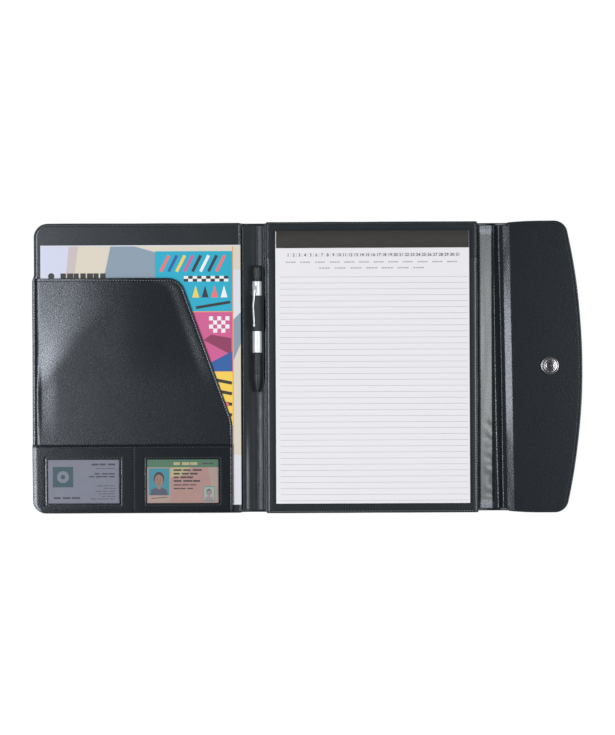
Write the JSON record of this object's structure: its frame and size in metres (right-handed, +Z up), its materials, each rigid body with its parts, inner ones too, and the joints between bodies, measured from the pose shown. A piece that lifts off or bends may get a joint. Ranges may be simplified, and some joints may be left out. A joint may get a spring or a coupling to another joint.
{
  "type": "snap padfolio",
  "caption": "Black leather-look padfolio lying open, with document and card pockets, a pen in the spine loop, a ruled writing pad and a bowed snap flap on a soft gusset.",
  "frame": {"origin": "centre of the open padfolio's outline, on the surface that it lies on", "axes": "+X from the front cover across the pad to the flap, +Y towards the pad's binding, +Z up out of the open covers"},
  "size_m": [0.5941, 0.3154, 0.0162],
  "materials": {
    "leather": "fine-grained black faux leather with a soft sheen",
    "vinyl": "smooth glossy black vinyl, creased",
    "loop": "matt black elastic band",
    "board": "grey pressed paper board",
    "padding": "soft foam sheet",
    "film": "clear flexible plastic film",
    "paper": "smooth white writing paper",
    "print": "coated printed paper, semi-gloss",
    "tape": "dark brown binding tape",
    "glue": "set padding glue",
    "nickel": "bright nickel plate",
    "silver": "silver metallised plastic",
    "black_plastic": "satin black plastic",
    "refill": "translucent ink tube",
    "card": "lavender-grey card stock",
    "card_plastic": "printed plastic card"
  },
  "bodies": {
    "back": {"back_cover_skin": "leather", "back_board": "board", "back_lining": "leather", "pad_pocket_panel": "leather"},
    "spine": {"spine_skin": "leather", "spine_lining": "leather", "pen_loop": "loop"},
    "front": {"front_cover_skin": "leather", "front_padding": "padding", "front_board": "board", "front_lining": "leather", "document_pocket": "leather", "card_panel": "leather", "card_window_left": "film", "card_window_right": "film", "snap_stud": "nickel", "snap_stud_post": "nickel"},
    "gusset": {"gusset_skin": "leather", "gusset_lining": "vinyl"},
    "flap": {"flap_skin": "leather", "flap_stiffener": "board", "flap_lining": "leather", "snap_cap": "nickel", "snap_socket": "nickel", "snap_spring": "nickel"},
    "pad": {"pad_backing": "board", "pad_glue_strip": "glue", "pad_sheets": "paper", "pad_binding": "tape"},
    "sheet": {"top_sheet": "paper"},
    "pen": {"pen_barrel": "silver", "pen_grip": "black_plastic", "pen_nose": "black_plastic", "pen_clip": "nickel"},
    "knob": {"pen_knob": "black_plastic", "pen_refill": "refill"},
    "left_card": {"business_card": "card"},
    "right_card": {"id_card": "card_plastic"},
    "brochure": {"brochure_pages": "paper", "brochure_cover": "print"}
  },
  "joints": [
    {"name": "spine_fold", "type": "hinge", "parent": "back", "child": "spine", "pos_m": [-0.0463, 0, 0.005], "axis": [0, 1, 0], "range_deg": [0, 90]},
    {"name": "front_fold", "type": "hinge", "parent": "spine", "child": "front", "pos_m": [-0.0699, 0, 0.005], "axis": [0, 1, 0], "range_deg": [0, 90]},
    {"name": "gusset_fold", "type": "hinge", "parent": "back", "child": "gusset", "pos_m": [0.185, 0, 0.005], "axis": [0, -1, 0], "range_deg": [0, 90]},
    {"name": "flap_fold", "type": "hinge", "parent": "gusset", "child": "flap", "pos_m": [0.2152, 0, 0.005], "axis": [0, -1, 0], "range_deg": [0, 90]},
    {"name": "pad_slide", "type": "slide", "parent": "back", "child": "pad", "axis": [0, 1, 0], "range_m": [0, 0.27]},
    {"name": "sheet_turn", "type": "hinge", "parent": "pad", "child": "sheet", "pos_m": [0.0703, 0.1286, 0.0102], "axis": [-1, 0, 0], "range_deg": [0, 180]},
    {"name": "pen_slide", "type": "slide", "parent": "spine", "child": "pen", "axis": [0, 1, 0], "range_m": [0, 0.11]},
    {"name": "knob_twist", "type": "hinge", "parent": "pen", "child": "knob", "pos_m": [-0.0541, 0.0933, 0.0089], "axis": [0, 1, 0], "range_deg": [0, 180]},
    {"name": "left_card_slide", "type": "slide", "parent": "front", "child": "left_card", "axis": [0, 1, 0], "range_m": [0, 0.066]},
    {"name": "right_card_slide", "type": "slide", "parent": "front", "child": "right_card", "axis": [0, 1, 0], "range_m": [0, 0.068]},
    {"name": "brochure_slide", "type": "slide", "parent": "front", "child": "brochure", "axis": [0, 1, 0], "range_m": [0, 0.25]}
  ],
  "couplings": [
    {"joint": "front_fold", "follows": "spine_fold", "ratio": 1},
    {"joint": "flap_fold", "follows": "gusset_fold", "ratio": 1}
  ]
}
